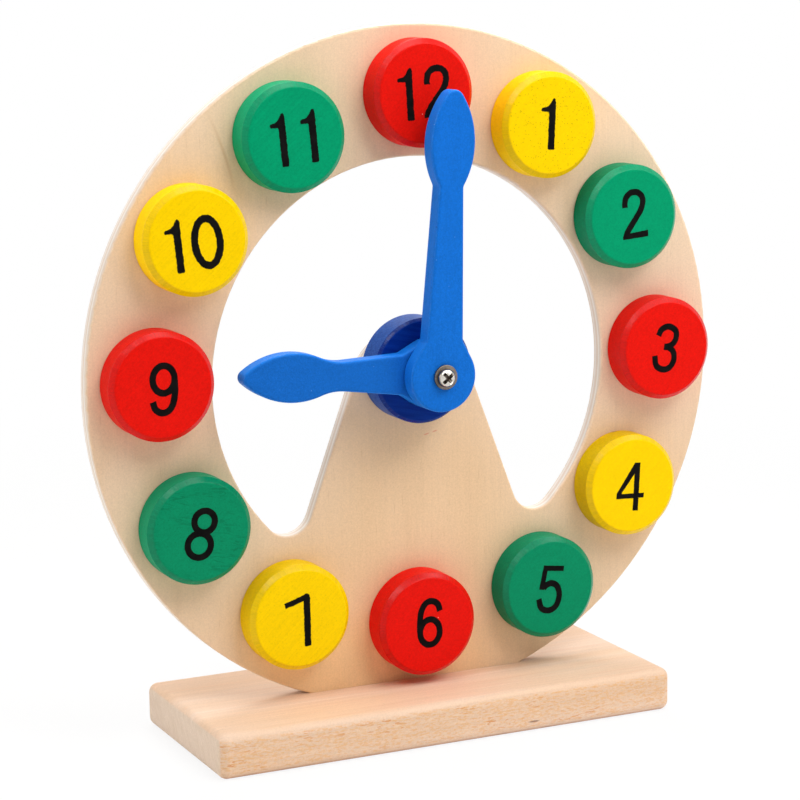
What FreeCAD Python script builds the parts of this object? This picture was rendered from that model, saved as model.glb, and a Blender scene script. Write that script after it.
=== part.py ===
import FreeCAD
import Part
import math
import os

# A teaching clock: a round plywood dial board with a horseshoe window stands in a beech
# base. Twelve painted number discs sit on dowels in the board, and two hands turn on one
# screw in front of a hub disc.
# Millimetres. +Z is up and the dial faces -Y. The origin is under the board's middle, on the
# plane that the base stands on, halfway between the base's front and back.

V = FreeCAD.Vector

# Base block
base_length = 157.0
base_depth = 66.0
base_height = 14.0
base_edge_round = 3.0
base_aside = -1.0  # the base's middle is this far to the side of the board's

# Dial board
board_diameter = 216.0
board_thickness = 5.0
board_edge_round = 0.7
board_forward = 0.9  # the board's middle is this far in front of the base's
foot_cut = 6.8  # how much the flat foot takes off the round board
tongue_shoulder = 3.7  # from each end of the foot to the tongue
tongue_depth = 6.0
groove_clearance = 0.1

# Window in the board, and the post that the window leaves standing behind the hub
window_margin = 2.15  # from the ring of discs in to the window
window_aside = 0.35
window_drop = 0.8
window_corner_round = 8.2
post_margin = 1.45  # from the hub disc out to the post's sides
post_lean = 20.4
post_cover = 3.9  # how far the hub disc rises over the post's top

# Number discs, their dowels and where the dowel holes are
dial_rise = 0.6
rim_margin = 4.4  # from the board's rim in to the ring of discs
six_gap = 3.1  # from the base up to disc 6, which sits inside the ring
disc_diameter = 33.6
disc_thickness = 9.8
disc_front_chamfer = 1.7
disc_back_chamfer = 0.5
disc_corner_round = 0.4
dowel_diameter = 8.0
dowel_depth_in_disc = 6.0
dowel_end_chamfer = 0.5
dowel_hole_clearance = 0.08
dowel_turning_clearance = 0.05
dowel_end_gap = 0.2

# Each dowel hole was set out by hand: how far it is off the even ring, sideways and up
hole_drift = {
    1: (1.5, -0.5),
    2: (-0.5, 0.6),
    3: (0.5, 0.0),
    4: (-0.5, -1.0),
    5: (0.5, 0.0),
    7: (-0.5, 1.0),
    8: (-1.0, 0.5),
    9: (0.0, 2.4),
    10: (0.5, 2.0),
    11: (1.0, -0.5),
    12: (1.0, -0.5),
}

# Hub disc, glued on a little off the screw
hub_diameter = 33.4
hub_aside = -0.9
hub_raise = 0.2
hub_thickness = 10.2
hub_chamfer = 1.0
hub_corner_round = 0.3

# Hands: both have a round boss that flares into a tapered bar, and a leaf-shaped blade
boss_diameter = 22.1
flare_reach = 11.1  # from the screw out to where the flare's sides meet the bar's
flare_corner_round = 2.0
hand_edge_round = 0.9
hand_face_clearance = 0.25
hand_bore_clearance = 0.08

hour_tip_gap = 6.2  # from the tip to the ring of discs
hour_thickness = 6.0
hour_root_width = 14.6
hour_neck_width = 8.9
hour_neck_to_tip = 31.8
hour_blade_width = 15.2
hour_blade_to_tip = 16.6
hour_tip_radius = 2.4
hour_neck_round = 17.0
hour_angle = 273.3

minute_overreach = 1.2  # from the middle of the ring of discs out to the tip
minute_thickness = 6.0
minute_root_width = 13.4
minute_neck_width = 8.3
minute_neck_to_tip = 30.5
minute_blade_width = 14.9
minute_blade_to_tip = 16.5
minute_tip_radius = 3.2
minute_neck_round = 2.0
minute_angle = 3.4

# Screw and washer that hold the hands
screw_diameter = 2.9
screw_length = 25.0
screw_point = 3.0
head_diameter = 5.8
head_height = 1.9
head_dome_round = 1.6
recess_width = 1.15
recess_span = 4.6
recess_depth = 2.1
recess_tip_radius = 0.6
recess_angle = 50.0
washer_diameter = 7.7
washer_aside = 0.2  # its bore is loose, and it sits up and to the right on the screw
washer_raise = 0.1
washer_thickness = 0.9
washer_bore_clearance = 0.35
washer_edge_round = 0.2

# Sizes and places that follow
board_radius = board_diameter / 2
board_front = -board_forward - board_thickness / 2
board_back = board_front + board_thickness
board_centre_height = base_height + board_radius - foot_cut
foot_width = 2 * math.sqrt(board_radius**2 - (board_radius - foot_cut) ** 2)
tongue_width = foot_width - 2 * tongue_shoulder
dial_height = board_centre_height + dial_rise
dial_radius = board_radius - rim_margin - disc_diameter / 2
ring_inside = dial_radius - disc_diameter / 2
window_radius = ring_inside - window_margin
hour_length = ring_inside - hour_tip_gap
hour_neck_reach = hour_length - hour_neck_to_tip
hour_blade_reach = hour_length - hour_blade_to_tip
minute_length = dial_radius + minute_overreach
minute_neck_reach = minute_length - minute_neck_to_tip
minute_blade_reach = minute_length - minute_blade_to_tip
hub_front = board_front - hub_thickness
hour_back = hub_front - hand_face_clearance
hour_front = hour_back - hour_thickness
minute_back = hour_front - hand_face_clearance
minute_front = minute_back - minute_thickness
washer_back = minute_front - hand_face_clearance
washer_front = washer_back - washer_thickness
hand_bore_radius = screw_diameter / 2 + hand_bore_clearance
dowel_length = board_thickness + dowel_depth_in_disc
backward = V(0, 1, 0)
flat = 1e-4  # how much the ends of an edge may differ and still count as level
close = 0.01  # how far from a radius an edge may lie and still count as on it


def round_bar(radius, front, back, x=0.0, z=0.0):
    """Cylinder along Y between two planes."""
    return Part.makeCylinder(radius, back - front, V(x, front, z), backward)


def arc(a, b, c):
    """Arc edge from a to c through b."""
    return Part.Arc(a, b, c).toShape()


def slab(edges, thickness):
    """Solid that runs backward from a closed outline."""
    return Part.Face(Part.Wire(edges)).extrude(backward * thickness)


def edges_in_planes(shape, planes):
    """Edges that lie wholly in one of the given Y planes."""
    found = []
    for edge in shape.Edges:
        box = edge.BoundBox
        for plane in planes:
            if abs(box.YMin - plane) < flat and abs(box.YMax - plane) < flat:
                found.append(edge)
    return found


def edges_through(shape, low, high, x, z):
    """Edges that run straight back, and whose distance from an axis lies in a range."""
    found = []
    for edge in shape.Edges:
        box = edge.BoundBox
        straight = box.XLength < flat and box.ZLength < flat
        distance = math.hypot(box.Center.x - x, box.Center.z - z)
        if straight and low < distance < high:
            found.append(edge)
    return found


def soften(shape, front, chamfer, radius):
    """Rounds the two edges that a chamfer leaves round a front face."""
    return shape.makeFillet(radius, edges_in_planes(shape, (front, front + chamfer)))


def disc_place(hour):
    """Where the dowel hole of one hour is, as X and Z."""
    if hour == 6:
        return 0.0, base_height + six_gap + disc_diameter / 2
    angle = math.radians(30.0 * hour)
    sideways, up = hole_drift[hour]
    x = dial_radius * math.sin(angle) + sideways
    z = dial_height + dial_radius * math.cos(angle) + up
    return x, z


def make_base():
    corner = V(base_aside - base_length / 2, -base_depth / 2, 0)
    block = Part.makeBox(base_length, base_depth, base_height, corner)
    block = block.makeFillet(base_edge_round, block.Edges)
    groove = Part.makeBox(
        tongue_width + 2 * groove_clearance,
        board_thickness + 2 * groove_clearance,
        tongue_depth + groove_clearance,
        V(
            -tongue_width / 2 - groove_clearance,
            board_front - groove_clearance,
            base_height - tongue_depth - groove_clearance,
        ),
    )
    return block.cut(groove)


def make_window():
    """The horseshoe that is cut out of the board: a round hole, less the post."""
    centre = board_centre_height - window_drop
    lean = math.radians(post_lean)
    side_distance = hub_diameter / 2 + post_margin
    top_rise = dial_rise + hub_diameter / 2 - post_cover
    # The post's top is an arc that runs into both sides without a corner.
    top_centre = (top_rise - side_distance) / (1 - math.sin(lean))
    top_radius = top_rise - top_centre
    top_z = board_centre_height + top_centre
    tangent_x = top_radius * math.cos(lean)
    tangent_z = top_z + top_radius * math.sin(lean)
    foot_z = centre - window_radius
    foot_x = tangent_x + (tangent_z - foot_z) * math.tan(lean)
    left_foot = V(-foot_x, board_front, foot_z)
    right_foot = V(foot_x, board_front, foot_z)
    left_top = V(-tangent_x, board_front, tangent_z)
    right_top = V(tangent_x, board_front, tangent_z)
    crown = V(0, board_front, top_z + top_radius)
    post = slab(
        [
            Part.makeLine(left_foot, left_top),
            arc(left_top, crown, right_top),
            Part.makeLine(right_top, right_foot),
            Part.makeLine(right_foot, left_foot),
        ],
        board_thickness,
    )
    window = round_bar(window_radius, board_front, board_back, window_aside, centre).cut(post)
    feet = edges_through(
        window, window_radius - close, window_radius + close, window_aside, centre
    )
    feet = [edge for edge in feet if edge.BoundBox.Center.z < centre]
    return window.makeFillet(window_corner_round, feet)


def make_board():
    board = round_bar(board_radius, board_front, board_back, 0, board_centre_height)
    board = board.cut(make_window())
    board = board.makeFillet(board_edge_round, edges_in_planes(board, (board_front, board_back)))
    below = Part.makeBox(
        board_diameter,
        3 * board_thickness,
        board_diameter,
        V(-board_diameter / 2, board_front - board_thickness, base_height - board_diameter),
    )
    tongue = Part.makeBox(
        tongue_width,
        board_thickness,
        tongue_depth,
        V(-tongue_width / 2, board_front, base_height - tongue_depth),
    )
    board = board.cut(below).fuse(tongue).removeSplitter()
    hole_radius = dowel_diameter / 2 + dowel_hole_clearance
    holes = []
    for hour in range(1, 13):
        x, z = disc_place(hour)
        holes.append(round_bar(hole_radius, board_front, board_back, x, z))
    return board.cut(holes).cut(make_screw_body())


def make_number_disc(hour):
    x, z = disc_place(hour)
    front = board_front - disc_thickness
    disc = round_bar(disc_diameter / 2, front, board_front, x, z)
    disc = disc.makeChamfer(disc_front_chamfer, edges_in_planes(disc, (front,)))
    disc = disc.makeChamfer(disc_back_chamfer, edges_in_planes(disc, (board_front,)))
    disc = soften(disc, front, disc_front_chamfer, disc_corner_round)
    bore_radius = dowel_diameter / 2 + dowel_turning_clearance
    bore_end = board_front - dowel_depth_in_disc - dowel_end_gap
    return disc.cut(round_bar(bore_radius, bore_end, board_front, x, z))


def make_dowel(hour):
    x, z = disc_place(hour)
    dowel = round_bar(dowel_diameter / 2, board_back - dowel_length, board_back, x, z)
    ends = edges_in_planes(dowel, (board_back - dowel_length, board_back))
    return dowel.makeChamfer(dowel_end_chamfer, ends)


def make_hub():
    z = dial_height + hub_raise
    hub = round_bar(hub_diameter / 2, hub_front, board_front, hub_aside, z)
    hub = hub.makeChamfer(hub_chamfer, edges_in_planes(hub, (hub_front,)))
    hub = soften(hub, hub_front, hub_chamfer, hub_corner_round)
    return hub.cut(make_screw_body())


def make_blade(front, thickness, length, width, reach, tip_radius):
    """Leaf between two arcs that both run into the round tip, pointing up from the hub."""
    tip_reach = length - tip_radius
    rise = tip_reach - reach
    side_radius = (rise**2 + width**2 / 4 - tip_radius**2) / (width - 2 * tip_radius)
    side_offset = side_radius - width / 2
    half_chord = math.sqrt(side_radius**2 - side_offset**2)
    # The side's centre, the tip's centre and the point where their arcs meet are in line.
    stretch = side_radius / (side_radius - tip_radius)
    meet_x = side_offset * (stretch - 1)
    meet_z = dial_height + reach + rise * stretch
    inner = V(0, front, dial_height + reach - half_chord)
    tip = V(0, front, dial_height + length)
    left_meet = V(-meet_x, front, meet_z)
    right_meet = V(meet_x, front, meet_z)
    left_side = V(-width / 2, front, dial_height + reach)
    right_side = V(width / 2, front, dial_height + reach)
    outline = [
        arc(inner, left_side, left_meet),
        arc(left_meet, tip, right_meet),
        arc(right_meet, right_side, inner),
    ]
    return slab(outline, thickness)


def make_stem(front, thickness, root_width, neck_width, neck_reach, end_reach):
    """Boss, flare and tapered bar in one outline, which ends inside the blade."""
    boss_radius = boss_diameter / 2
    taper = (root_width - neck_width) / 2 / neck_reach
    flare_half = root_width / 2 - taper * flare_reach
    end_half = root_width / 2 - taper * end_reach
    # Each side of the flare leaves the boss's round without a corner.
    corner_distance = math.hypot(flare_half, flare_reach)
    turn = math.atan2(flare_reach, flare_half) - math.acos(boss_radius / corner_distance)
    tangent_half = boss_radius * math.cos(turn)
    tangent_reach = boss_radius * math.sin(turn)
    right = [(end_half, end_reach), (flare_half, flare_reach), (tangent_half, tangent_reach)]
    left = [(-half, reach) for half, reach in reversed(right)]
    points = [V(half, front, dial_height + reach) for half, reach in left + right]
    heel = V(0, front, dial_height - boss_radius)
    outline = Part.makePolygon(points).Edges + [arc(points[-1], heel, points[0])]
    stem = slab(outline, thickness)
    low, high = corner_distance - close, corner_distance + close
    return stem.makeFillet(flare_corner_round, edges_through(stem, low, high, 0, dial_height))


def finish_hand(front, thickness, stem, blade, blade_reach, neck_round, angle):
    """Joins stem and blade, rounds and bores the hand, and turns it to its hour."""
    back = front + thickness
    hand = stem.fuse(blade).removeSplitter()
    necks = edges_through(hand, boss_diameter, blade_reach, 0, dial_height)
    hand = hand.makeFillet(neck_round, necks)
    hand = hand.makeFillet(hand_edge_round, edges_in_planes(hand, (front, back)))
    hand = hand.cut(round_bar(hand_bore_radius, front, back, 0, dial_height))
    hand.rotate(V(0, 0, dial_height), backward, angle)
    return hand


def make_hour_hand():
    stem = make_stem(
        hour_front,
        hour_thickness,
        hour_root_width,
        hour_neck_width,
        hour_neck_reach,
        hour_blade_reach,
    )
    blade = make_blade(
        hour_front,
        hour_thickness,
        hour_length,
        hour_blade_width,
        hour_blade_reach,
        hour_tip_radius,
    )
    return finish_hand(
        hour_front, hour_thickness, stem, blade, hour_blade_reach, hour_neck_round, hour_angle
    )


def make_minute_hand():
    stem = make_stem(
        minute_front,
        minute_thickness,
        minute_root_width,
        minute_neck_width,
        minute_neck_reach,
        minute_blade_reach,
    )
    blade = make_blade(
        minute_front,
        minute_thickness,
        minute_length,
        minute_blade_width,
        minute_blade_reach,
        minute_tip_radius,
    )
    return finish_hand(
        minute_front,
        minute_thickness,
        stem,
        blade,
        minute_blade_reach,
        minute_neck_round,
        minute_angle,
    )


def make_washer():
    x, z = washer_aside, dial_height + washer_raise
    washer = round_bar(washer_diameter / 2, washer_front, washer_back, x, z)
    washer = washer.makeFillet(
        washer_edge_round, edges_in_planes(washer, (washer_front, washer_back))
    )
    bore_radius = screw_diameter / 2 + washer_bore_clearance
    return washer.cut(round_bar(bore_radius, washer_front, washer_back, x, z))


def make_screw_body():
    """Shank and point, which also shape the holes that they bite into."""
    radius = screw_diameter / 2
    shank_end = washer_front + screw_length - screw_point
    shank = round_bar(radius, washer_front, shank_end, 0, dial_height)
    point = Part.makeCone(radius, 0, screw_point, V(0, shank_end, dial_height), backward)
    return shank.fuse(point).removeSplitter()


def make_recess(head_front):
    """Cross recess: four wings that get shorter the deeper they go."""
    apex = Part.makeCone(
        recess_span / 2, recess_tip_radius, recess_depth, V(0, head_front, dial_height), backward
    )
    wings = []
    for turn in (0.0, 90.0):
        corner = V(-recess_span / 2, head_front, dial_height - recess_width / 2)
        wing = Part.makeBox(recess_span, recess_depth, recess_width, corner)
        wing.rotate(V(0, 0, dial_height), backward, recess_angle + turn)
        wings.append(wing.common(apex))
    return wings


def make_screw():
    head_front = washer_front - head_height
    head = round_bar(head_diameter / 2, head_front, washer_front, 0, dial_height)
    head = head.makeFillet(head_dome_round, edges_in_planes(head, (head_front,)))
    screw = head.fuse(make_screw_body()).removeSplitter()
    return screw.cut(make_recess(head_front))


def main():
    nodes = {
        "base": make_base(),
        "clock_board": make_board(),
        "hub_disc": make_hub(),
        "hour_hand": make_hour_hand(),
        "minute_hand": make_minute_hand(),
        "hand_washer": make_washer(),
        "hand_screw": make_screw(),
    }
    for hour in range(1, 13):
        nodes["number_disc_%02d" % hour] = make_number_disc(hour)
        nodes["disc_dowel_%02d" % hour] = make_dowel(hour)
    os.makedirs("parts", exist_ok=True)
    for name, shape in nodes.items():
        solids = shape.Solids
        if len(solids) != 1 or not shape.isValid():
            print("check", name, len(solids), shape.isValid())
        solids[0].exportStep("parts/%s.step" % name)


main()
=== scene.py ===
"""Looks of the teaching clock: its numbers, paints, woods and metals, the light and the camera,
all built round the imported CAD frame, in metres and in the same frame as the CAD."""

import math
from collections import namedtuple

import bpy
from mathutils import Matrix, Vector, noise
from mathutils.geometry import delaunay_2d_cdt


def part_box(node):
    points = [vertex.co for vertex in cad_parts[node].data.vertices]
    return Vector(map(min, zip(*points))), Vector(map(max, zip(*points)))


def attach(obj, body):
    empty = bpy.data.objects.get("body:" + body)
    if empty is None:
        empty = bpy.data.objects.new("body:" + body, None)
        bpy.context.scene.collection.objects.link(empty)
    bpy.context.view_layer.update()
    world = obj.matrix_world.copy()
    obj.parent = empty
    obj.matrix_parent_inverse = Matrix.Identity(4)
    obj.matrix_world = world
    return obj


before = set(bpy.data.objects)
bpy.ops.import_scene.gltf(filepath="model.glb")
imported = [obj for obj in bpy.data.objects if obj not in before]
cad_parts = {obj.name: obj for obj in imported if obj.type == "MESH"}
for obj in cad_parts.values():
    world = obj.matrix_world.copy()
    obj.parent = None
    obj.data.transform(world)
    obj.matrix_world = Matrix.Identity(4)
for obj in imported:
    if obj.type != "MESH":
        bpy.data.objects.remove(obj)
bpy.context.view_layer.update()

MM = 0.001
X, Y, Z = 0, 1, 2
HOURS = range(1, 13)


# ---------------------------------------------------------------- numbers
# Outlines are in mm from the disc's axis, with x to the right and z up, seen from the front.

STROKE = 2.05  # mm, width of a number's strokes
ZERO_STROKE = 2.25
INK_PROUD = 0.04  # mm, how far the ink stands in front of the disc's face
INK_DEEP = 0.06  # mm, how far it sinks behind the face
OUTLINE_STEP = 0.35  # mm, longest straight piece of an ink outline
CURVE_STEPS = 8  # straight pieces between two points of a smooth line
ARC_STEPS = 28  # straight pieces in an arc
RING_HALVES = ((-100, 100), (80, 280))  # degrees, where the two halves of a ring start and end
SAME_POINT = 1e-5  # mm, points nearer than this are taken as one


def spline(points):
    """A smooth line through the points."""
    before = tuple(2 * a - b for a, b in zip(points[0], points[1]))
    after = tuple(2 * a - b for a, b in zip(points[-1], points[-2]))
    p = [before, *points, after]
    line = []
    for i in range(1, len(p) - 2):
        for k in range(CURVE_STEPS):
            t = k / CURVE_STEPS
            line.append(tuple(catmull_rom(*(q[axis] for q in p[i - 1 : i + 3]), t) for axis in (0, 1)))
    return line + [points[-1]]


def catmull_rom(a, b, c, d, t):
    """The smooth value between b and c, a share t of the way, with a before and d after them."""
    linear = (c - a) * t
    square = (2 * a - 5 * b + 4 * c - d) * t * t
    cube = (3 * b - a - 3 * c + d) * t**3
    return 0.5 * (2 * b + linear + square + cube)


def ribbon(line, start=STROKE, end=None):
    """The outline of a stroke along a line, its width going from start to end."""
    end = start if end is None else end
    last = len(line) - 1
    left, right = [], []
    for i, (x, z) in enumerate(line):
        before, after = line[max(i - 1, 0)], line[min(i + 1, last)]
        along_x, along_z = after[0] - before[0], after[1] - before[1]
        half = (start + (end - start) * i / last) / 2 / math.hypot(along_x, along_z)
        left.append((x - along_z * half, z + along_x * half))
        right.append((x + along_z * half, z - along_x * half))
    return left + right[::-1]


def arc(x, z, radius_x, radius_z, start, end):
    """Points of an oval's arc, with its angles in degrees."""
    turns = [math.radians(start + (end - start) * k / ARC_STEPS) for k in range(ARC_STEPS + 1)]
    return [(x + radius_x * math.cos(t), z + radius_z * math.sin(t)) for t in turns]


def ring(x, z, radius_x, radius_z, width=STROKE):
    """An oval stroke, in two halves that overlap."""
    return [ribbon(arc(x, z, radius_x, radius_z, *half), width) for half in RING_HALVES]


# Each digit is a list of closed outlines, one for each of its strokes.


def one():
    half, top, foot, cut = 1.16, 8.0, -8.15, 0.3
    stem = [(-half, foot + cut), (cut - half, foot), (half - cut, foot), (half, foot + cut)]
    stem += [(half, top - 1.2), (0.95, top - cut), (0.6, top), (0.3, top)]
    flag = spline([(0.0, top - 0.35), (-0.8, 6.35), (-1.95, 5.4), (-3.65, 5.05)])
    flag += [(-3.95, 4.6), (-3.9, 4.1), (-3.6, 3.85), (-1.5, 3.8), (-half, 3.4)]
    return [stem + flag]


def two():
    arch = [(-3.84, 2.5), (-3.85, 3.9), (-3.2, 5.8), (-1.7, 6.95), (-0.4, 7.15), (1.3, 6.8)]
    slope = [(2.55, 5.4), (2.75, 3.4), (1.75, 1.0), (0.1, -1.1), (-1.7, -3.2), (-3.2, -5.0), (-4.3, -6.9)]
    foot = [(-5.3, -7.75), (4.0, -7.75), (4.1, -5.65), (-3.6, -6.0), (-5.3, -6.6)]
    return [ribbon(spline(arch + slope)), foot]


def three():
    upper = [(-3.1, 3.7), (-2.2, 5.8), (0.2, 6.95), (3.0, 5.9), (3.65, 3.6), (2.7, 1.4), (0.6, 0.3)]
    upper += [(-0.5, 0.25)]
    lower = [(-0.3, 0.25), (1.4, 0.1), (3.25, -1.3), (3.8, -3.8), (2.6, -6.35), (0.1, -7.25)]
    lower += [(-2.6, -6.1), (-3.6, -2.9)]
    return [ribbon(spline(upper)), ribbon(spline(lower))]


def four():
    stem = ribbon([(1.0, 8.0), (1.0, -8.0)], 2.0)
    slope = [(0.0, 8.0), (2.0, 8.0), (2.0, 7.0), (1.2, 6.0), (-4.4, -1.9), (-4.4, -3.4)]
    slope += [(-6.35, -3.4), (-6.35, -2.2)]
    bar = [(-6.35, -3.95), (3.9, -3.75), (3.9, -2.15), (-6.35, -2.35)]
    return [stem, slope, bar]


def five():
    top = 7.8
    bar = [(-3.0, top), (4.15, top), (4.15, 6.05), (-3.0, 6.05)]
    stem = ribbon([(-2.45, top), (-3.25, -0.2)], 1.7, 1.9)
    bowl = [(-2.6, 0.3), (-1.5, 1.4), (0.2, 2.0), (2.35, 1.05), (3.5, -1.9), (2.7, -5.5), (0.2, -7.05)]
    bowl += [(-2.6, -6.3), (-3.95, -3.3)]
    return [bar, stem, ribbon(spline(bowl))]


def six():
    tail = [(-3.5, -2.4), (-3.5, 0.6), (-2.95, 4.2), (-1.45, 6.65), (0.75, 7.25), (2.8, 6.05), (3.6, 3.7)]
    return ring(0.0, -2.85, 3.45, 4.15) + [ribbon(spline(tail))]


def seven():
    corner, corner_radius = (3.5, 7.05), 1.02
    bar = ribbon([(-4.2, 7.1), corner], 1.7, 1.85)
    stem = ribbon([corner, (-1.05, -8.05)], 2.2)
    round_corner = arc(*corner, corner_radius, corner_radius, 0, 345)
    return [bar, stem, round_corner]


def eight():
    return ring(0.05, 3.8, 3.3, 3.35) + ring(-0.1, -3.65, 3.75, 3.75)


def nine():
    return [[(-x, -z) for x, z in shape] for shape in six()]


def zero():
    return ring(-0.05, -0.1, 4.0, 7.1, ZERO_STROKE)


# Each number's digits: shape, place from the disc's axis in mm, and turn in degrees
NUMBERS = {
    1: [(one, 0.1, 0.41, -2.8)],
    2: [(two, 0.9, 0.86, 4.5)],
    3: [(three, -0.55, 0.46, -8)],
    4: [(four, 0.35, -0.42, -3.5)],
    5: [(five, -0.1, -0.44, -7)],
    6: [(six, 0.2, 0.46, 0)],
    7: [(seven, 0.6, -1.02, 17.3)],
    8: [(eight, 0.2, -0.64, -14)],
    9: [(nine, 0.1, -0.39, 0)],
    10: [(one, -6.1, -0.94, 5.3), (zero, 3.15, -0.19, 6)],
    11: [(one, -4.05, -0.42, 5), (one, 5.75, 0.51, 5)],
    12: [(one, -5.35, -0.04, 3), (two, 4.5, 0.46, 3)],
}
ROUGH_NUMBERS = (1, 7, 10, 11, 12)
ROUGH_EDGE = 0.14  # mm, how far a rough print's outline strays
SMOOTH_EDGE = 0.05
COARSE_WAVES, FINE_WAVES = 0.8, 2.9  # waves per mm of the two noises that move an outline
HOUR_SEED, FINE_SEED = 3.7, 40.0  # how far apart the noises of two hours, and the two noises, are
PRINT_SEED = 7  # not 0, which would take the time of day instead


def divided(shape):
    """The closed outline with points added, so that no straight piece is longer than a step."""
    points = []
    for a, b in zip(shape, shape[1:] + shape[:1]):
        count = max(1, math.ceil(math.dist(a, b) / OUTLINE_STEP))
        points += [tuple(p + (q - p) * k / count for p, q in zip(a, b)) for k in range(count)]
    return points


def anticlockwise(shape):
    area = sum(a[0] * b[1] - b[0] * a[1] for a, b in zip(shape, shape[1:] + shape[:1]))
    return shape if area > 0 else shape[::-1]


def strayed(point, amount, seed):
    """A point of an ink outline moved a little by smooth noise."""
    x, z = point
    coarse = noise.noise_vector(Vector((x * COARSE_WAVES, seed, z * COARSE_WAVES)))
    fine = noise.noise_vector(Vector((x * FINE_WAVES, seed + FINE_SEED, z * FINE_WAVES)))
    return (x + amount * (coarse.x + fine.x), z + amount * (coarse.z + fine.z))


def placed(shape, x, z, degrees):
    """The outline turned, and then moved to a place."""
    turn = math.radians(degrees)
    cos, sin = math.cos(turn), math.sin(turn)
    return [(x + px * cos - pz * sin, z + px * sin + pz * cos) for px, pz in shape]


def number_outlines(hour):
    """The closed outlines of the strokes of one hour's number, which may overlap."""
    stray = ROUGH_EDGE if hour in ROUGH_NUMBERS else SMOOTH_EDGE
    outlines = []
    for digit, x, z, degrees in NUMBERS[hour]:
        for shape in digit():
            outline = placed(divided(shape), x, z, degrees)
            outlines.append([strayed(p, stray, hour * HOUR_SEED) for p in outline])
    return outlines


def covered(shapes):
    """Points and triangles that cover all the outlines, as one flat area."""
    points, faces = [], []
    for shape in shapes:
        faces.append(list(range(len(points), len(points) + len(shape))))
        points += [Vector(p) for p in anticlockwise(shape)]
    whole_hull = 0  # Blender's code for triangles over the whole convex hull of the outlines
    found, _, triangles, _, _, sources = delaunay_2d_cdt(points, [], faces, whole_hull, SAME_POINT)
    return found, [tuple(t) for t, source in zip(triangles, sources) if source]


def prism(name, points, triangles, front, back):
    """A closed mesh between two y planes over flat triangles given in x and z."""
    edges = {(t[i], t[(i + 1) % 3]) for t in triangles for i in range(3)}
    rim = [e for e in edges if (e[1], e[0]) not in edges]
    count = len(points)
    vertices = [(p[0], front, p[1]) for p in points] + [(p[0], back, p[1]) for p in points]
    faces = list(triangles) + [tuple(i + count for i in reversed(t)) for t in triangles]
    faces += [(a, a + count, b + count, b) for a, b in sorted(rim)]
    mesh = bpy.data.meshes.new(name)
    mesh.from_pydata(vertices, [], faces)
    mesh.validate()
    return link(bpy.data.objects.new(name, mesh))


def link(obj):
    bpy.context.scene.collection.objects.link(obj)
    return obj


def disc_centre(hour):
    """The middle of a number disc, and the y of its face."""
    low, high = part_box(f"number_disc_{hour:02d}")
    return (low + high) / 2, low.y


def make_number(hour):
    """The number printed on one disc, as one piece of ink."""
    centre, face = disc_centre(hour)
    points, triangles = covered(number_outlines(hour))
    points = [(centre.x + p.x * MM, centre.z + p.y * MM) for p in points]
    front, back = face - INK_PROUD * MM, face + INK_DEEP * MM
    return prism(f"number_{hour:02d}", points, triangles, front, back)


# ---------------------------------------------------------------- shader helper

SPECK_CORE = 0.4  # share of a speck's radius inside which it is at its strongest
SHARE_EDGE = 0.01  # how softly a share of the cells is told from the rest


def rgb(red, green, blue):
    """A colour as it looks on the screen, 0 to 255, as the linear colour Blender takes."""
    values = (c / 255 for c in (red, green, blue))
    return (*(v / 12.92 if v <= 0.04045 else ((v + 0.055) / 1.055) ** 2.4 for v in values), 1.0)


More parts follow.
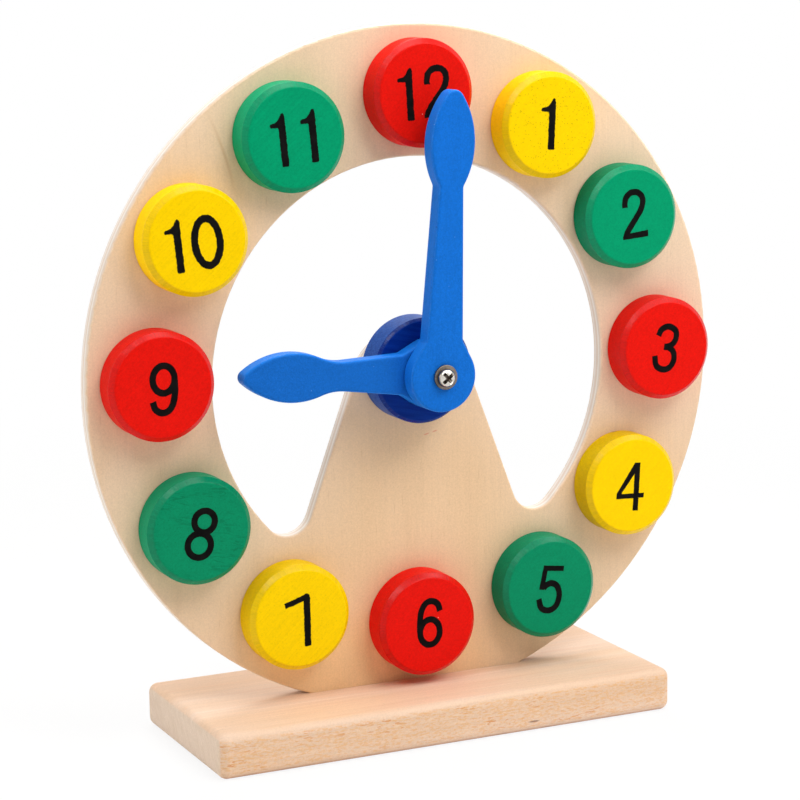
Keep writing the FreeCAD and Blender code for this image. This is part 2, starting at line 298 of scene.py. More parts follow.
class Shader:
    """One material's node tree, with short calls for the nodes used here."""

    def __init__(self, name):
        self.material = bpy.data.materials.new(name)
        self.material.use_nodes = True
        self.tree = self.material.node_tree
        self.tree.nodes.clear()
        self.output = self.tree.nodes.new("ShaderNodeOutputMaterial")
        self.coordinates = self.tree.nodes.new("ShaderNodeTexCoord")
        self.place = self.coordinates.outputs["Object"]

    def node(self, kind, inputs, **settings):
        """A new node, with each input linked to a socket or set to a value."""
        made = self.tree.nodes.new(kind)
        for key, value in settings.items():
            setattr(made, key, value)
        for key, value in inputs.items():
            if isinstance(value, bpy.types.NodeSocket):
                self.tree.links.new(value, made.inputs[key])
            else:
                made.inputs[key].default_value = value
        return made

    def math(self, operation, a, b=0.0, c=0.0):
        return self.node("ShaderNodeMath", {0: a, 1: b, 2: c}, operation=operation).outputs[0]

    def total(self, *values):
        result = values[0]
        for value in values[1:]:
            result = self.math("ADD", result, value)
        return result

    def product(self, *values):
        result = values[0]
        for value in values[1:]:
            result = self.math("MULTIPLY", result, value)
        return result

    def opposite(self, mask):
        """1 where the mask is 0, and 0 where it is 1."""
        return self.math("SUBTRACT", 1.0, mask)

    def step(self, value, low, high):
        """0 below low and 1 above high, smooth between. It falls instead where low is above high."""
        inputs = {"Value": value, "From Min": low, "From Max": high}
        return self.node("ShaderNodeMapRange", inputs, interpolation_type="SMOOTHSTEP").outputs[0]

    def band(self, value, middle, half):
        """1 at the middle and 0 further away than half."""
        return self.step(self.math("ABSOLUTE", self.math("SUBTRACT", value, middle)), half, 0.0)

    def scale(self, value, low, high):
        """A value from 0 to 1 spread over low to high."""
        return self.node("ShaderNodeMapRange", {"Value": value, "To Min": low, "To Max": high}).outputs[0]

    def vector(self, operation, a, b=(0, 0, 0)):
        made = self.node("ShaderNodeVectorMath", {0: a, 1: b}, operation=operation)
        return made.outputs["Value" if operation == "LENGTH" else "Vector"]

    def split(self, source):
        return self.node("ShaderNodeSeparateXYZ", {0: source}).outputs

    def facing(self, axis):
        """How far the surface faces along one of its own axes, from 0 to 1."""
        normal = self.split(self.coordinates.outputs["Normal"])
        return self.math("ABSOLUTE", normal[axis])

    def mapped(self, scale=(1, 1, 1), turn=(0, 0, 0), shift=(0, 0, 0)):
        """Coordinates shifted first, then turned by degrees, then scaled."""
        moved = self.node("ShaderNodeMapping", {0: self.place, 1: shift}).outputs[0]
        turned = self.node("ShaderNodeMapping", {0: moved, 2: [math.radians(d) for d in turn]})
        return self.vector("MULTIPLY", turned.outputs[0], scale)

    def noise(self, source, scale, detail=2.0, rough=0.5, bend=0.0):
        """Cloudy noise round 0.5, with this many spots per metre where the source is in metres."""
        inputs = {"Vector": source, "Scale": scale, "Detail": detail}
        inputs |= {"Roughness": rough, "Distortion": bend}
        return self.node("ShaderNodeTexNoise", inputs).outputs["Fac"]

    def even(self, scale, detail=2.0, rough=0.5, shift=(0, 0, 0)):
        """Noise with spots as long as they are wide."""
        return self.noise(self.mapped(shift=shift), scale, detail, rough)

    def grain(self, scale, detail=3.0, rough=0.5, bend=0.0, turn=(0, 0, 0), shift=(0, 0, 0)):
        """Noise with spots drawn out into grain, from their number per metre along x, y and z."""
        return self.noise(self.mapped(scale, turn, shift), 1.0, detail, rough, bend)

    def specks(self, source, scale, share, size):
        """Small round dots in a share of the cells, as a mask."""
        found = self.node("ShaderNodeTexVoronoi", {"Vector": source, "Scale": scale})
        picked = self.split(found.outputs["Color"])[0]
        chosen = self.step(picked, 1 - share, 1 - share + SHARE_EDGE)
        return self.product(chosen, self.step(found.outputs["Distance"], size, size * SPECK_CORE))

    def mix(self, factor, a, b):
        return self.node("ShaderNodeMix", {0: factor, 6: a, 7: b}, data_type="RGBA").outputs[2]

    def ramp(self, value, colours, low=0.3, high=0.7):
        """The first colour where the value is low, and the second where it is high."""
        return self.mix(self.step(value, low, high), *colours)

    def layered(self, base, *layers):
        """The base with each layer's colour over it in turn, where the layer's mask is."""
        for mask, colour in layers:
            base = self.mix(mask, base, colour)
        return base

    def shaded(self, colour, value):
        """The colour made lighter or darker by a factor near 1."""
        return self.node("ShaderNodeHueSaturation", {"Color": colour, "Value": value}).outputs[0]

    def bump(self, height, distance):
        return self.node("ShaderNodeBump", {"Height": height, "Distance": distance}).outputs[0]

    def finish(self, colour, roughness, normal, **others):
        """The material, from these and other inputs of its surface by name."""
        inputs = {"Base Color": colour, "Roughness": roughness, "Normal": normal}
        inputs |= {key.replace("_", " "): value for key, value in others.items()}
        surface = self.node("ShaderNodeBsdfPrincipled", inputs)
        self.tree.links.new(surface.outputs[0], self.output.inputs["Surface"])
        return self.material


def dress(names, material):
    """Gives the material to CAD nodes by name."""
    for name in names:
        data = bpy.data.objects[name].data
        data.materials.clear()
        data.materials.append(material)


Blot = namedtuple("Blot", "x z half_x half_z turn", defaults=[0.0])  # in mm and degrees


def blot(shader, spot):
    """A soft oval spot on the front or the back, as a mask."""
    scale = (1 / (spot.half_x * MM), 0, 1 / (spot.half_z * MM))
    moved = shader.mapped(scale, (0, spot.turn, 0), (-spot.x * MM, 0, -spot.z * MM))
    return shader.step(shader.vector("LENGTH", moved), 1.0, 0.4)


# ---------------------------------------------------------------- paint in general

PAINT_SPECULAR = 0.045  # satin paint, so that the white room doesn't wash its colour out
CHAMFER_GLOSS = 0.22  # coat weight on the chamfers, which the turning tool has burnished
COAT_ROUGHNESS = 0.12
FACE_END = (0.03 * MM, 0.3 * MM)  # how far behind its front a disc's flat face ends
WALL_START = (-0.1 * MM, 0.25 * MM)  # where its wall starts, past the chamfer's depth

Turned = namedtuple("Turned", "around face chamfer wall")


def turned_parts(shader, centre, front, chamfer):
    """Of a turned disc: the direction round its axis, and masks of its face, chamfer and wall."""
    local = shader.mapped(shift=(-centre.x, 0, -centre.z))
    around = shader.vector("NORMALIZE", shader.vector("MULTIPLY", local, (1, 0, 1)))
    depth = shader.math("SUBTRACT", shader.split(local)[Y], front)
    off_face = shader.step(depth, *FACE_END)
    on_wall = shader.step(depth, *(chamfer + start for start in WALL_START))
    on_chamfer = shader.math("SUBTRACT", off_face, on_wall)
    return Turned(around, shader.opposite(off_face), on_chamfer, on_wall)


def fine_mottle(shader, shift=(0, 0, 0)):
    """The orange peel of sprayed paint, or the fuzz of bare wood, as even noise."""
    return shader.even(1700, 3.0, 0.75, shift)


def wall_streaks(shader, around, along, scale):
    """Streaks in a turned wall, longer along the disc's axis than round it."""
    return shader.noise(shader.vector("ADD", around, shader.mapped((0, along, 0))), scale, 3.0, 0.7)


def turned_roughness(shader, part, scale, low, high, burnish):
    """An uneven roughness from low to high, which the burnish lowers on the chamfer."""
    return shader.total(shader.scale(shader.even(scale), low, high), shader.product(part.chamfer, -burnish))


def satin(shader, colour, roughness, normal, gloss):
    """Satin paint, with a clear coat on it where the gloss is."""
    coat = {"Coat_Weight": gloss, "Coat_Normal": normal, "Coat_Roughness": COAT_ROUGHNESS}
    return shader.finish(colour, roughness, normal, Specular_IOR_Level=PAINT_SPECULAR, **coat)


# ---------------------------------------------------------------- number discs

Paint = namedtuple("Paint", "colour mottle")  # the mottle is how far the orange peel shades it
PAINTS = {
    "red": Paint(rgb(230, 21, 11), 0.28),
    "yellow": Paint(rgb(253, 209, 0), 0.15),
    "green": Paint(rgb(0, 151, 103), 0.3),
}
DISC_COLOURS = {hour: ("red", "yellow", "green")[hour % 3] for hour in HOURS}
DEEP_GREEN = rgb(8, 138, 95)
DEEP_GREEN_HOURS = (5, 8)
DISC_CHAMFER = 1.7 * MM
DARKER = 0.5  # how dark the pores and the grain are against the paint

# How much of each mark a disc shows: dark pores, slanting scratches, wavy grain and dust, and
# how much lighter or darker its wall is painted, as painted light and shade
Marks = namedtuple("Marks", "pores scratches grain dust wall_light", defaults=[0.1, 0.2, 0.0, 0.0, 1.0])
# the last value of each disc is painted light and shade on its wall
MARKS = {
    1: Marks(pores=1.0),
    2: Marks(pores=0.0, grain=0.1, dust=0.2, wall_light=0.68),
    3: Marks(dust=0.7, wall_light=0.93),
    4: Marks(wall_light=0.74),
    5: Marks(grain=0.2, dust=0.7, wall_light=0.9),
    6: Marks(grain=0.1, dust=0.7, wall_light=1.06),
    7: Marks(pores=0.3, scratches=0.36, wall_light=0.87),
    8: Marks(pores=0.5, grain=1.0, wall_light=1.1),
    9: Marks(scratches=0.28, dust=0.8, wall_light=0.9),
    10: Marks(pores=0.2, scratches=0.36, grain=0.1, wall_light=1.03),
    11: Marks(scratches=0.5, grain=0.2, dust=0.4, wall_light=1.12),
    12: Marks(scratches=0.25, dust=0.7),
}
SCRATCH_SHADE = 0.3  # how far the scratches, the chamfer's ticks and the wall's streaks shade a paint
TICK_SHADE = (-0.36, 0.14)
TICKS = 17  # spots per radian in the chamfer's ticks, or up to three more
WALL_SHADE = 0.16
SCRATCH_TURN = (0, 42, 0)
WAVE_TURN = (0, -10, 0)
PALE_DUST = rgb(252, 225, 205)
BARE_WOOD = rgb(176, 132, 74)
CHIPS = {4: Blot(72.8, 88.1, 1.3, 1.0)}  # bare spots on a disc's back edge
CHIP_REACH = (-1.5 * MM, -0.9 * MM)  # how far in front of the disc's back a chip fades out

Pattern = namedtuple("Pattern", "mottle scratches ticks streaks")


def disc_colour(hour):
    return DEEP_GREEN if hour in DEEP_GREEN_HOURS else PAINTS[DISC_COLOURS[hour]].colour


def disc_shift(hour):
    """Moves the noises from disc to disc, so that no two discs look the same."""
    return (hour * 0.31, 0, hour * -0.17)


def disc_pattern(shader, hour, around):
    """The noises that shade a disc's paint and roughen it."""
    shift = disc_shift(hour)
    return Pattern(
        mottle=fine_mottle(shader, shift),
        scratches=shader.grain((60, 1, 1500), detail=2.0, turn=SCRATCH_TURN, shift=shift),
        ticks=shader.noise(around, TICKS + hour % 4, 2.5, 0.75),
        streaks=wall_streaks(shader, around, 25, 19),
    )


def disc_shade(shader, hour, part, pattern):
    """The disc's paint, lighter and darker with its mottle, scratches, ticks and streaks, and with painted
    light and shade on its wall.
    """
    mottle = PAINTS[DISC_COLOURS[hour]].mottle
    scratch = SCRATCH_SHADE * MARKS[hour].scratches
    # painted light and shade on the wall, which differs from disc to disc
    light = MARKS[hour].wall_light - 1
    value = shader.total(
        shader.scale(pattern.mottle, 1 - mottle, 1 + mottle),
        shader.product(part.face, shader.scale(pattern.scratches, -scratch, scratch)),
        shader.product(part.chamfer, shader.scale(pattern.ticks, *TICK_SHADE)),
        shader.product(part.wall, shader.scale(pattern.streaks, light - WALL_SHADE, light + WALL_SHADE)),
    )
    return shader.shaded(disc_colour(hour), value)


def chip(shader, hour):
    """The bare spot where the paint has chipped off a disc's back edge, as a mask."""
    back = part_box(f"number_disc_{hour:02d}")[1].y
    at_back = shader.step(shader.split(shader.place)[Y], *(back + reach for reach in CHIP_REACH))
    return shader.product(blot(shader, CHIPS[hour]), at_back)


def disc_marks(shader, hour, face, base):
    """The disc's paint with the wavy grain, pores, dust and chip that show in it."""
    marks, shift = MARKS[hour], disc_shift(hour)
    flat = shader.mapped((1, 0, 1), shift=shift)
    darker = shader.shaded(disc_colour(hour), DARKER)
    patch = shader.step(shader.noise(flat, 70, 1.0), 0.42, 0.58)
    waves = shader.grain((110, 1, 620), rough=0.6, bend=2.2, turn=WAVE_TURN, shift=shift)
    base = shader.layered(
        base,
        (shader.product(shader.step(waves, 0.52, 0.62), patch, face, 0.5 * marks.grain), darker),
        (shader.product(shader.specks(flat, 1150, 0.7, 0.34), face, 0.6 * marks.pores), darker),
        (shader.product(shader.specks(flat, 300, 0.1, 0.07), face, 0.8 * marks.dust), PALE_DUST),
    )
    return shader.mix(chip(shader, hour), base, BARE_WOOD) if hour in CHIPS else base


def disc_height(shader, hour, part, pattern):
    """The relief of the disc's paint."""
    return shader.total(
        shader.product(pattern.mottle, 0.25),
        shader.product(part.face, pattern.scratches, 0.5 * MARKS[hour].scratches + 0.1),
        shader.product(part.chamfer, pattern.ticks, 1.8),
        shader.product(part.wall, pattern.streaks),
    )


def disc_paint(hour):
    """Satin paint on a turned wooden disc, with the grain, tool marks and dust that show in it."""
    centre, front = disc_centre(hour)
    shader = Shader(f"{DISC_COLOURS[hour]}_paint_{hour:02d}")
    part = turned_parts(shader, centre, front, DISC_CHAMFER)
    pattern = disc_pattern(shader, hour, part.around)
    colour = disc_marks(shader, hour, part.face, disc_shade(shader, hour, part, pattern))
    roughness = turned_roughness(shader, part, 900, 0.36, 0.50, burnish=0.26)
    normal = shader.bump(disc_height(shader, hour, part, pattern), 0.09 * MM)
    return satin(shader, colour, roughness, normal, shader.product(part.chamfer, CHAMFER_GLOSS))


def ink():
    """Matt black ink with a few gaps where the dust or the grain shows."""
    shader = Shader("number_ink")
    patch = shader.even(350, 3.0, 0.6)
    base = shader.ramp(patch, (rgb(6, 5, 5), rgb(17, 15, 14)), low=0.35)
    gaps = shader.specks(shader.mapped((1, 0, 1)), 420, 0.10, 0.10)
    base = shader.mix(shader.product(gaps, 0.4), base, rgb(150, 130, 110))
    normal = shader.bump(shader.even(1500), 0.02 * MM)
    return shader.finish(base, shader.scale(patch, 0.45, 0.7), normal, Specular_IOR_Level=0.05)


# ---------------------------------------------------------------- hub disc and hands

HUB_CHAMFER = 1.0 * MM
NAVY_FACE = (rgb(2, 40, 124), rgb(12, 56, 144))
# the chamfer's tool-mark ticks; their lighter colour is partly a painted highlight
NAVY_CHAMFER_AND_HIGHLIGHT = (rgb(4, 40, 122), rgb(24, 70, 152))
NAVY_WALL = (rgb(22, 64, 144), rgb(42, 92, 174))

Hand = namedtuple("Hand", "name colour grain_turn seed")
HANDS = (
    Hand("hour", rgb(22, 103, 194), 3, 0.2),
    Hand("minute", rgb(20, 110, 208), 87, 0.7),
)
# painted light on a hand's sides that face up or down
PAINTED_LIGHT_BLUE = rgb(26, 126, 230)
WORN_BLUE = rgb(70, 160, 244)
NICK_BLUE = rgb(4, 62, 140)
DUSTY_BLUE = rgb(130, 185, 240)


def hub_paint():
    """Thin navy paint, lighter on the turned wall, with streaks of the grain under it."""
    low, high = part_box("hub_disc")
    shader = Shader("navy_paint")
    part = turned_parts(shader, (low + high) / 2, low.y, HUB_CHAMFER)
    fibres = shader.grain((50, 200, 900), detail=4.0, rough=0.65, bend=0.6, turn=(0, -12, 0))
    streaks = wall_streaks(shader, part.around, 30, 30)
    ticks = shader.noise(part.around, 19, 2.0, 0.7)
    # tool-mark ticks, lighter in part as a painted highlight
    chamfer = shader.ramp(ticks, NAVY_CHAMFER_AND_HIGHLIGHT, low=0.45)
    front = shader.mix(part.chamfer, shader.ramp(fibres, NAVY_FACE), chamfer)
    colour = shader.mix(part.wall, front, shader.ramp(streaks, NAVY_WALL))
    colour = shader.shaded(colour, shader.scale(fine_mottle(shader), 0.82, 1.18))
    roughness = turned_roughness(shader, part, 700, 0.26, 0.42, burnish=0.14)
    height = shader.total(
        shader.product(part.face, fibres, 0.5),
        shader.product(part.chamfer, ticks),
        shader.product(part.wall, streaks, 0.8),
    )
    gloss = shader.product(part.chamfer, CHAMFER_GLOSS)
    return satin(shader, colour, roughness, shader.bump(height, 0.08 * MM), gloss)


def hand_shade(shader, hand, fibres, mottle):
    """A hand's blue, shaded by its mottle and grain, with painted light on sides that face left or right.
    """
    # painted light: sides that face left or right are made lighter
    flank_painted_light = shader.step(shader.facing(X), 0.6, 0.95)
    value = shader.total(
        shader.scale(mottle, 0.66, 1.34),
        shader.scale(fibres, -0.07, 0.07),
        shader.scale(shader.even(110, shift=(hand.seed, 0, 0)), -0.06, 0.06),
        shader.product(flank_painted_light, 0.16),
    )
    return shader.shaded(hand.colour, value)


def hand_marks(shader, hand, edge, painted_light_up_down, base):
    """A hand's blue with painted light on sides that face up or down, its worn and nicked edges and its
    dust.
    """
    worn = shader.step(shader.even(520, 3.0, 0.7), 0.45, 0.7)
    nicks = shader.step(shader.even(700, 2.0, 0.6, (hand.seed, 0, 0)), 0.62, 0.72)
    dust = shader.specks(shader.mapped((1, 0.4, 1), shift=(hand.seed, 0, hand.seed)), 480, 0.10, 0.09)
    return shader.layered(
        base,
        # painted light on sides that face up or down
        (shader.product(painted_light_up_down, 0.7), PAINTED_LIGHT_BLUE),
        (shader.product(edge, worn, 0.2), WORN_BLUE),
        (shader.product(edge, nicks, 0.5), NICK_BLUE),
        (shader.product(dust, 0.5), DUSTY_BLUE),
    )


def hand_paint(hand):
    """Bright blue paint with painted light on sides that face up or down, with worn edges and dust in it.
    """
    shader = Shader(f"blue_paint_{hand.name}")
    edge = shader.band(shader.facing(Y), 0.5, 0.4)
    # mask of the painted light on sides that face up or down
    painted_light_up_down = shader.step(shader.facing(Z), 0.35, 0.8)
    turn, shift = (0, hand.grain_turn, 0), (hand.seed, 0, 0)
    fibres = shader.grain((60, 400, 900), rough=0.6, bend=0.3, turn=turn, shift=shift)
    mottle = fine_mottle(shader, (0, hand.seed, 0))
    colour = hand_marks(shader, hand, edge, painted_light_up_down, hand_shade(shader, hand, fibres, mottle))
    roughness = shader.scale(shader.even(800), 0.32, 0.48)
    normal = shader.bump(shader.total(shader.product(fibres, 0.8), shader.product(mottle, 0.7)), 0.07 * MM)
    gloss = shader.product(edge, shader.opposite(painted_light_up_down), CHAMFER_GLOSS)
    return satin(shader, colour, roughness, normal, gloss)


# ---------------------------------------------------------------- dial board

WOOD_SPECULAR = 0.15
FRONT_REACH = (0.4 * MM, 0.2 * MM)  # how far behind the board's front a mark on it fades out
BIRCH = (rgb(239, 209, 177), rgb(233, 200, 164))
PALE_BIRCH = rgb(241, 213, 185)
WARM_BIRCH = rgb(236, 196, 148)
GOLDEN_BIRCH = rgb(250, 206, 142)
BIRCH_FIGURE = rgb(222, 186, 146)
BIRCH_PORE = rgb(206, 164, 124)
BIRCH_STAIN = rgb(200, 146, 90)
RED_SMEAR = rgb(222, 120, 100)
PALE_SIDE = Blot(95, 140, 75, 85)
WARM_POST = Blot(4, 62, 52, 60)
GOLDEN_FOOT = Blot(-15, 20, 60, 24)
SMEARS = (Blot(4.5, 93.7, 1.3, 0.3, 14), Blot(7.5, 94.4, 1.2, 0.3, 14))

PLY_LAYERS = 5
PLY_WOODS = (rgb(243, 233, 222), rgb(233, 214, 196))
PLY_GLUE = rgb(200, 176, 164)
GLUE_HALF = 0.13  # half the width of a glue line, as a share of a layer

# A curved stain runs through this place. With up as the height above it, in metres, the stain
# is at x = STAIN_X + up * (STAIN_LEAN + STAIN_BEND * up)
STAIN_X, STAIN_Z = -58.3 * MM, 173 * MM
STAIN_LEAN, STAIN_BEND = -0.2, -5.0
STAIN_MIDDLE, STAIN_HALF_HEIGHT = 13 * MM, 15 * MM
STAIN_HALF_WIDTH = 0.9 * MM


def mineral_streak(shader):
    """The thin curved stain in the board's veneer between hours 10 and 11, as a mask."""
    x, _, z = shader.split(shader.place)
    up = shader.math("SUBTRACT", z, STAIN_Z)
    slope = shader.math("MULTIPLY_ADD", up, STAIN_BEND, STAIN_LEAN)
    line = shader.math("MULTIPLY_ADD", up, slope, STAIN_X)
    across = shader.math("SUBTRACT", x, line)
    within = shader.band(up, STAIN_MIDDLE, STAIN_HALF_HEIGHT)
    return shader.product(shader.band(across, 0.0, STAIN_HALF_WIDTH), within)


def birch_veneer(shader, fibres):
    """The board's face, with its broad bands of colour, its figure and its upright grain."""
    broad = shader.grain((14, 60, 2.2), bend=0.6)
    warm = shader.grain((30, 60, 5), detail=2.0, shift=(0, 0, 0.4))
    figure = shader.step(shader.grain((40, 40, 9), rough=0.55, bend=1.2, shift=(0.3, 0, 0.1)), 0.52, 0.72)
    face = shader.layered(
        shader.ramp(broad, BIRCH),
        (shader.product(blot(shader, PALE_SIDE), 0.7), PALE_BIRCH),
        (shader.product(blot(shader, WARM_POST), shader.scale(warm, 0.2, 0.7)), WARM_BIRCH),
        (shader.product(blot(shader, GOLDEN_FOOT), 0.5), GOLDEN_BIRCH),
        (shader.product(figure, 0.22), BIRCH_FIGURE),
    )
    value = shader.total(shader.scale(fibres, 0.95, 1.05), shader.scale(fine_mottle(shader), -0.18, 0.18))
    return shader.shaded(face, value)


def birch_marks(shader, pores, on_front, face):
    """The board's face with its pores, and with the stain and the smears on its front."""
    smears = shader.math("MAXIMUM", *(blot(shader, smear) for smear in SMEARS))
    return shader.layered(
        face,
        (shader.product(pores, 0.22), BIRCH_PORE),
        (shader.product(mineral_streak(shader), on_front, 0.34), BIRCH_STAIN),
        (shader.product(smears, on_front, 0.6), RED_SMEAR),
    )


def ply_edge(shader, depth, front, back):
    """The plywood's layers, with a glue line between each two."""
    share = shader.node("ShaderNodeMapRange", {"Value": depth, "From Min": front, "From Max": back})
    count = shader.total(shader.math("MULTIPLY", share.outputs[0], PLY_LAYERS), 0.5)
    odd = shader.step(shader.math("PINGPONG", count, 1.0), 0.35, 0.65)
    glue = shader.band(shader.math("FRACT", count), 0.5, GLUE_HALF)
    rub = shader.grain((260, 900, 260), rough=0.6)
    edge = shader.shaded(shader.mix(odd, *PLY_WOODS), shader.scale(rub, 0.93, 1.07))
    return shader.mix(shader.product(glue, 0.35), edge, PLY_GLUE)


def board_wood():
    """Birch plywood: faint upright grain on the faces, and the layers on the edges."""
    low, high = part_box("clock_board")
    shader = Shader("birch_plywood")
    depth = shader.split(shader.place)[Y]
    fibres = shader.grain((900, 300, 30), rough=0.65, bend=0.3)
    pores = shader.step(shader.grain((1500, 600, 160), detail=1.0, shift=(0, 0, 0.2)), 0.66, 0.76)
    on_front = shader.step(depth, *(low.y + reach for reach in FRONT_REACH))
    face = birch_marks(shader, pores, on_front, birch_veneer(shader, fibres))
    sideways = shader.step(shader.facing(Y), 0.75, 0.35)
    colour = shader.mix(sideways, face, ply_edge(shader, depth, low.y, high.y))
    roughness = shader.scale(shader.grain((300, 300, 40), detail=2.0), 0.48, 0.62)
    normal = shader.bump(shader.total(fibres, shader.product(pores, -0.6)), 0.04 * MM)
    return shader.finish(colour, roughness, normal, Specular_IOR_Level=WOOD_SPECULAR)


# ---------------------------------------------------------------- base and dowels

BEECH = (rgb(237, 209, 187), rgb(233, 198, 167))
BEECH_END = (rgb(233, 210, 189), rgb(225, 200, 176))
BEECH_FLECK = rgb(220, 146, 86)
BEECH_STREAK = rgb(232, 172, 98)
PALE_BEECH = rgb(248, 221, 188)
BEECH_GRAIN = rgb(226, 176, 138)
BEECH_FOOT_SHADE = rgb(190, 122, 80)
BEECH_MARK = rgb(120, 66, 40)
FOOT_HEIGHT = (1.6 * MM, 0.2 * MM)  # painted shade darkens the base's lower edge from the first height to the second
DARK_MARK = Blot(27, 3.5, 2.6, 0.4)

DOWEL_SIDE = (rgb(238, 212, 178), rgb(222, 190, 150))
DOWEL_END = (rgb(222, 192, 156), rgb(198, 162, 122))


def beech_flecks(shader, upright):
    """The short dashes where the rays are cut, in clusters on the upright sides, as a mask."""
    cut = shader.grain((310, 310, 1500), detail=2.0, bend=0.1)
    cluster = shader.grain((60, 60, 140), detail=2.0)
    return shader.product(shader.step(cut, 0.58, 0.66), shader.step(cluster, 0.38, 0.68), upright)


def foot(shader):
    """The rounded lower edge of the base, but not its underside, as a mask for painted shade."""
    low = shader.step(shader.split(shader.place)[Z], *FOOT_HEIGHT)
    return shader.product(low, shader.step(shader.facing(Z), 0.99, 0.9))


def beech_marks(shader, flecks, upright, wood):
    """The wood with its flecks and streaks, the grain on its top, painted shade on its foot and one dark
    mark.
    """
    on_top = shader.step(shader.facing(Z), 0.72, 0.92)
    fine = shader.step(shader.grain((620, 900, 2100), rough=0.7), 0.44, 0.62)
    pale = shader.step(shader.grain((240, 500, 1300), detail=2.0, shift=(0.5, 0, 0)), 0.56, 0.7)
    long_grain = shader.step(shader.grain((26, 500, 500), detail=2.0, bend=0.4), 0.52, 0.75)
    return shader.layered(
        wood,
        (shader.product(flecks, 0.85), BEECH_FLECK),
        (shader.product(fine, upright, 0.5), BEECH_STREAK),
        (shader.product(pale, upright, 0.2), PALE_BEECH),
        (shader.product(long_grain, on_top, 0.25), BEECH_GRAIN),
        # painted shade along the base's lower edge
        (shader.product(foot(shader), 0.7), BEECH_FOOT_SHADE),
        (shader.product(blot(shader, DARK_MARK), upright, 0.7), BEECH_MARK),
    )


def base_wood():
    """Beech: long grain on top, ray flecks on the front and back, cut fibres on the ends."""
    shader = Shader("beech")
    upright = shader.step(shader.facing(Z), 0.6, 0.25)
    flecks = beech_flecks(shader, upright)
    fibres = shader.grain((22, 700, 900), rough=0.6, bend=0.2)
    fuzz = fine_mottle(shader)
    broad = shader.grain((5, 60, 60), rough=0.55, bend=0.5, shift=(0.1, 0, 0))
    value = shader.total(shader.scale(fibres, 0.90, 1.10), shader.scale(fuzz, -0.17, 0.17))
    wood = shader.shaded(shader.ramp(broad, BEECH), value)
    wood = beech_marks(shader, flecks, upright, wood)
    rays = shader.grain((1, 900, 160), rough=0.6, bend=1.2, turn=(34, 0, 0))
    end = shader.shaded(shader.ramp(rays, BEECH_END), shader.scale(fuzz, 0.82, 1.18))
    colour = shader.mix(shader.step(shader.facing(X), 0.78, 0.92), wood, end)
    roughness = shader.scale(shader.grain((60, 400, 400), detail=2.0), 0.46, 0.60)
    normal = shader.bump(shader.math("SUBTRACT", fibres, shader.product(flecks, 0.4)), 0.04 * MM)
    return shader.finish(colour, roughness, normal, Specular_IOR_Level=WOOD_SPECULAR)


def dowel_wood():
    """Birch dowel: grain along it, and small rings on its ends."""
    shader = Shader("dowel_wood")
    fibres = shader.grain((900, 30, 900), rough=0.6)
    rings = shader.grain((140, 20, 500), detail=2.0, bend=0.8, turn=(0, 25, 0))
    end = shader.ramp(rings, DOWEL_END, 0.35, 0.65)
    colour = shader.mix(shader.step(shader.facing(Y), 0.6, 0.9), shader.ramp(fibres, DOWEL_SIDE), end)
    normal = shader.bump(fibres, 0.05 * MM)
    return shader.finish(colour, shader.scale(fibres, 0.5, 0.65), normal, Specular_IOR_Level=0.3)


# ---------------------------------------------------------------- metals

WASHER_STEEL = (rgb(136, 124, 112), rgb(104, 95, 88))
SCREW_NICKEL = (rgb(226, 222, 214), rgb(205, 200, 192))
SCREW_RECESS_SHADE = rgb(88, 74, 64)
RECESS_START = (0.35 * MM, 0.8 * MM)  # how far behind the head's front painted shade darkens the screw


def washer_metal():
    """Dull stamped steel, a little darker and rougher in patches."""
    shader = Shader("washer_steel")
    patch = shader.even(900, 3.0, 0.6)
    colour = shader.ramp(patch, WASHER_STEEL, 0.35, 0.65)
    normal = shader.bump(shader.even(3000), 0.01 * MM)
    return shader.finish(colour, shader.scale(patch, 0.36, 0.52), normal, Metallic=1.0)


def screw_metal():
    """Bright nickel plate, with painted shade in the recess and on the hidden shank."""
    low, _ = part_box("hand_screw")
    shader = Shader("screw_steel")
    inside = shader.step(shader.math("SUBTRACT", shader.split(shader.place)[Y], low.y), *RECESS_START)
    patch = shader.even(1300, 3.0, 0.6)
    bright = shader.ramp(patch, SCREW_NICKEL, 0.35, 0.65)
    # painted shade in the recess and on everything further back
    colour = shader.mix(shader.product(inside, 0.8), bright, SCREW_RECESS_SHADE)
    normal = shader.bump(shader.even(2200), 0.008 * MM)
    return shader.finish(colour, shader.scale(patch, 0.14, 0.26), normal, Metallic=1.0)


# ---------------------------------------------------------------- stage, light and camera

TARGET = Vector((-2.06, 2.0, 104.43)) * MM
CAMERA_AZIMUTH = -24.960
CAMERA_ELEVATION = 10.295
CAMERA_ROLL = -0.840
CAMERA_DISTANCE = 800.96 * MM
CAMERA_CLIP = (0.01, 100)  # metres
LENS = 113.21
SENSOR = 36.0

Lamp = namedtuple("Lamp", "name azimuth elevation distance width height power")
LAMPS = (  # degrees, metres and watts
    Lamp("key", 22, 48, 1.0, 0.5, 0.5, 4.5),
    Lamp("front", 45, 15, 1.0, 0.6, 0.6, 1.2),
    Lamp("left", -98, 20, 0.5, 0.3, 0.3, 0.83),
    Lamp("right", 65, 45, 0.6, 0.25, 0.25, 0.88),
    Lamp("back", 165, 50, 1.0, 0.5, 0.5, 4.6),
    Lamp("top", 10, 85, 0.5, 0.3, 0.3, 1.1),
    Lamp("upper_left", -48, 50, 1.0, 0.22, 0.3, 1.4),
)
AMBIENT = 0.1  # strength of the dim white light from all round
WHITE = (1, 1, 1, 1)

FLOOR_HALF = 15.0
FLOOR_GREY = (rgb(242, 241, 239), rgb(247, 246, 245))
FLOOR_SHADOW = 0.12  # share of the floor's own shading that a camera sees near the object
FLOOR_FADE = (0.6, 0.12)  # metres from the middle, where the floor is plain white and where it isn't


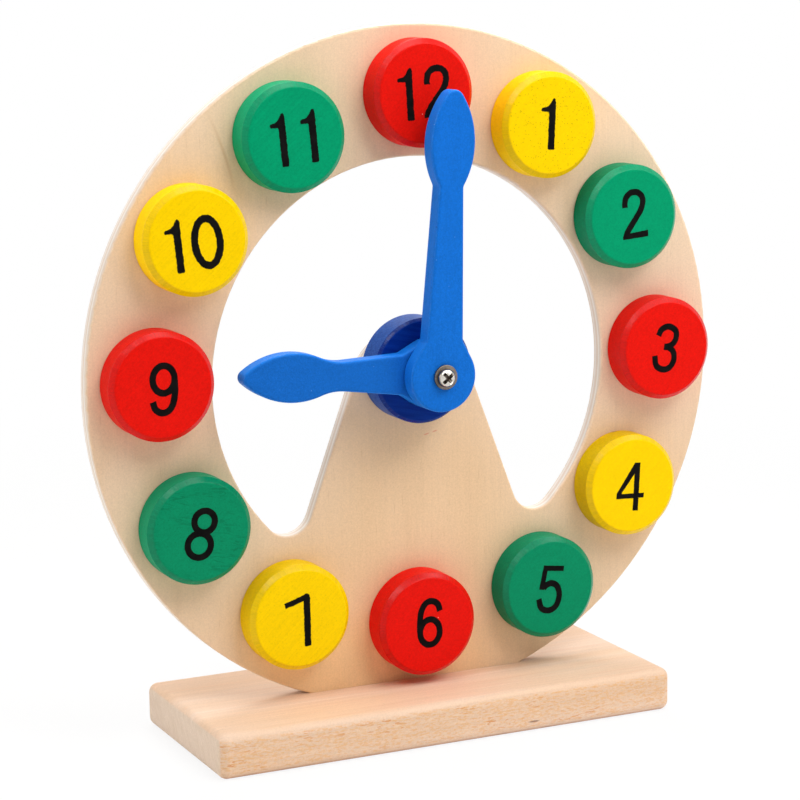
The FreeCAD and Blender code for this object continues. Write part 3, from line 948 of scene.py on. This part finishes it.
def direction(azimuth, elevation):
    """The unit vector from the target towards an azimuth and elevation; azimuth 0 is in front."""
    a, e = math.radians(azimuth), math.radians(elevation)
    return Vector((math.sin(a) * math.cos(e), -math.cos(a) * math.cos(e), math.sin(e)))


def looking(azimuth, elevation, distance, roll=0.0):
    """The matrix of a camera or lamp out there that looks at the target."""
    back = direction(azimuth, elevation)
    right = Vector((0, 0, 1)).cross(back).normalized()
    up = back.cross(right)
    cos, sin = math.cos(math.radians(roll)), math.sin(math.radians(roll))
    columns = (right * cos + up * sin, up * cos - right * sin, back)
    matrix = Matrix([[column[i] for column in columns] for i in range(3)]).to_4x4()
    matrix.translation = TARGET + back * distance
    return matrix


def make_camera():
    data = bpy.data.cameras.new("camera")
    data.sensor_width = SENSOR
    data.lens = LENS
    data.clip_start, data.clip_end = CAMERA_CLIP
    camera = link(bpy.data.objects.new("camera", data))
    camera.matrix_world = looking(CAMERA_AZIMUTH, CAMERA_ELEVATION, CAMERA_DISTANCE, CAMERA_ROLL)
    bpy.context.scene.camera = camera


def make_softbox(lamp):
    data = bpy.data.lights.new(lamp.name, "AREA")
    data.shape = "RECTANGLE"
    data.size = lamp.width
    data.size_y = lamp.height
    data.energy = lamp.power
    softbox = link(bpy.data.objects.new(lamp.name, data))
    softbox.matrix_world = looking(lamp.azimuth, lamp.elevation, lamp.distance)


def background_ray(tree):
    """1 for a ray that should see the plain white background, else 0."""
    rays = tree.nodes.new("ShaderNodeLightPath")
    seen = rays.outputs["Is Camera Ray"]
    for kind in ("Is Glossy Ray", "Is Transmission Ray"):
        either = tree.nodes.new("ShaderNodeMath")
        either.operation = "MAXIMUM"
        tree.links.new(seen, either.inputs[0])
        tree.links.new(rays.outputs[kind], either.inputs[1])
        seen = either.outputs[0]
    return seen


def make_world():
    """White where the background is seen, and a plain dim white as light on the object."""
    world = bpy.data.worlds.new("studio")
    bpy.context.scene.world = world
    world.use_nodes = True
    tree = world.node_tree
    background = tree.nodes["Background"]
    background.inputs["Color"].default_value = WHITE
    spread = tree.nodes.new("ShaderNodeMapRange")
    spread.inputs["To Min"].default_value = AMBIENT
    spread.inputs["To Max"].default_value = 1.0
    tree.links.new(background_ray(tree), spread.inputs["Value"])
    tree.links.new(spread.outputs[0], background.inputs["Strength"])


def floor_paint():
    """Plain white, with a faint share of a pale grey's own shading near the object."""
    shader = Shader("pale_floor")
    near = shader.step(shader.vector("LENGTH", shader.place), *FLOOR_FADE)
    white = shader.product(background_ray(shader.tree), shader.opposite(shader.product(near, FLOOR_SHADOW)))
    grain = shader.noise(shader.place, 40, 3.0)
    grey = shader.node("ShaderNodeBsdfDiffuse", {0: shader.mix(grain, *FLOOR_GREY)})
    plain = shader.node("ShaderNodeEmission", {0: WHITE, 1: 1.0})
    blend = shader.node("ShaderNodeMixShader", {0: white, 1: grey.outputs[0], 2: plain.outputs[0]})
    shader.tree.links.new(blend.outputs[0], shader.output.inputs["Surface"])
    return shader.material


def make_floor():
    mesh = bpy.data.meshes.new("floor")
    corners = [(-1, -1), (1, -1), (1, 1), (-1, 1)]
    mesh.from_pydata([(x * FLOOR_HALF, y * FLOOR_HALF, 0) for x, y in corners], [], [(0, 1, 2, 3)])
    mesh.materials.append(floor_paint())
    floor = link(bpy.data.objects.new("floor", mesh))


# ---------------------------------------------------------------- the whole scene


def make_numbers():
    noise.seed_set(PRINT_SEED)
    black = ink()
    for hour in HOURS:
        number = make_number(hour)
        number.data.materials.append(black)
        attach(number, f"disc_{hour:02d}")


def paint_parts():
    for hour in HOURS:
        dress([f"number_disc_{hour:02d}"], disc_paint(hour))
    dress([f"disc_dowel_{hour:02d}" for hour in HOURS], dowel_wood())
    dress(["hub_disc"], hub_paint())
    for hand in HANDS:
        dress([f"{hand.name}_hand"], hand_paint(hand))
    dress(["clock_board"], board_wood())
    dress(["base"], base_wood())
    dress(["hand_washer"], washer_metal())
    dress(["hand_screw"], screw_metal())


def make_light():
    make_world()
    for lamp in LAMPS:
        make_softbox(lamp)


bpy.context.scene.view_settings.view_transform = "Standard"
make_numbers()
paint_parts()
make_light()
make_floor()
make_camera()
